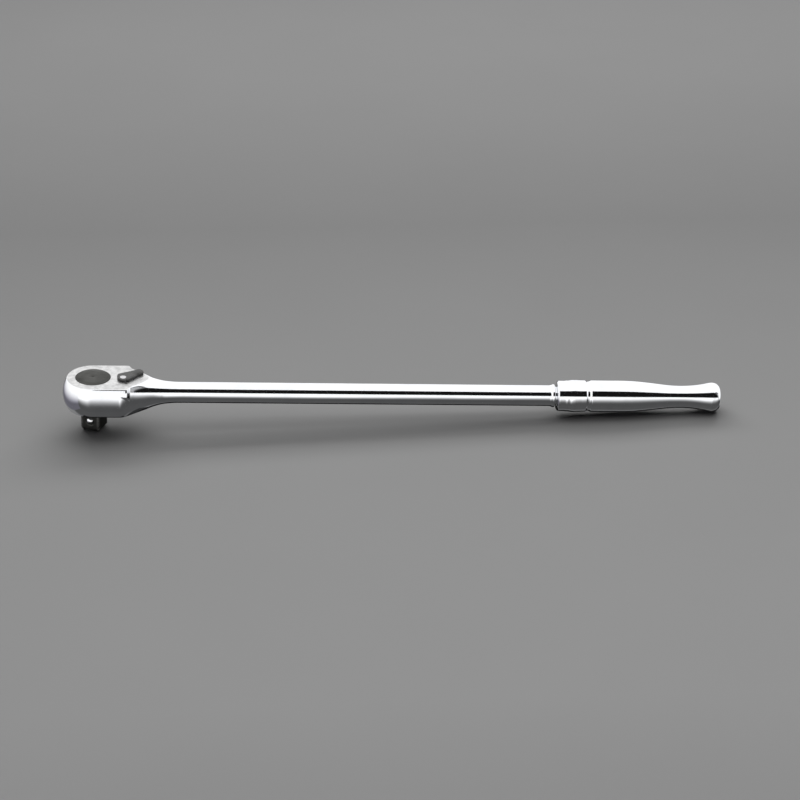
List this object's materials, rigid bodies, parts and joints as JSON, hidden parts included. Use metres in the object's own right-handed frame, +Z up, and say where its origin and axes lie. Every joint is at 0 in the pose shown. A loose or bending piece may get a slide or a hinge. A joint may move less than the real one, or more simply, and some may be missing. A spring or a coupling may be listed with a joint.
{
  "type": "long handle ratchet",
  "caption": "Long one-piece ratchet handle with a round geared head, a half-inch drive square with a ball detent, a reversing lever and a turned metal grip.",
  "frame": {"origin": "drive axis at the shoulder that a socket seats on", "axes": "+Z up the drive axis towards the lever side, +X along the handle towards the grip, -Z the way the drive square points"},
  "size_m": [0.41, 0.0378, 0.0369],
  "materials": {
    "polished_chrome": "polished",
    "grip_chrome": "polished, turned grooves",
    "lever_steel": "dark satin, worn bright on the hub",
    "dark_gear_steel": "black oxide, satin",
    "bearing_steel": "ground bright",
    "spring_steel": "drawn wire",
    "seal_rubber": "matte",
    "washer_brass": "turned",
    "cover_steel": "satin plated",
    "screw_steel": "black oxide",
    "pawl_steel": "ground"
  },
  "bodies": {
    "handle": {"handle_body": "polished_chrome", "grip_sleeve": "grip_chrome", "gear_top_seal": "seal_rubber", "gear_thrust_washer": "washer_brass", "cover_plate": "cover_steel", "cover_gasket": "seal_rubber", "cover_screws": "screw_steel"},
    "drive": {"drive_gear": "dark_gear_steel", "drive_detent_spring": "spring_steel"},
    "drive_ball": {"drive_detent_ball": "bearing_steel"},
    "lever": {"reversing_lever": "lever_steel", "lever_seal_ring": "seal_rubber", "lever_retaining_clip": "spring_steel", "plunger_spring": "spring_steel"},
    "plunger": {"pawl_plunger": "bearing_steel"},
    "pawl": {"pawl": "pawl_steel"}
  },
  "joints": [
    {"name": "drive_spin", "type": "hinge", "parent": "handle", "child": "drive", "pos_m": [0, 0, 0], "axis": [0, 0, 1], "continuous": true},
    {"name": "drive_ball_press", "type": "slide", "parent": "drive", "child": "drive_ball", "axis": [0.3714, 0.9285, 0], "range_m": [0, 0.0009], "stiffness_N_per_m": 1000, "deforming": ["drive_detent_spring"]},
    {"name": "lever_turn", "type": "hinge", "parent": "handle", "child": "lever", "pos_m": [0.0213, 0, 0.0198], "axis": [0, 0, 1], "range_deg": [-76, 0]},
    {"name": "plunger_slide", "type": "slide", "parent": "lever", "child": "plunger", "axis": [0.788, 0.6157, 0], "range_m": [0, 0.0008], "stiffness_N_per_m": 500, "deforming": ["plunger_spring"]},
    {"name": "pawl_swing", "type": "hinge", "parent": "handle", "child": "pawl", "pos_m": [0.0213, 0, 0.0094], "axis": [0, 0, 1], "range_deg": [0, 10.8]}
  ],
  "couplings": [
    {"joint": "pawl_swing", "follows": "lever_turn", "ratio": -0.1421}
  ]
}
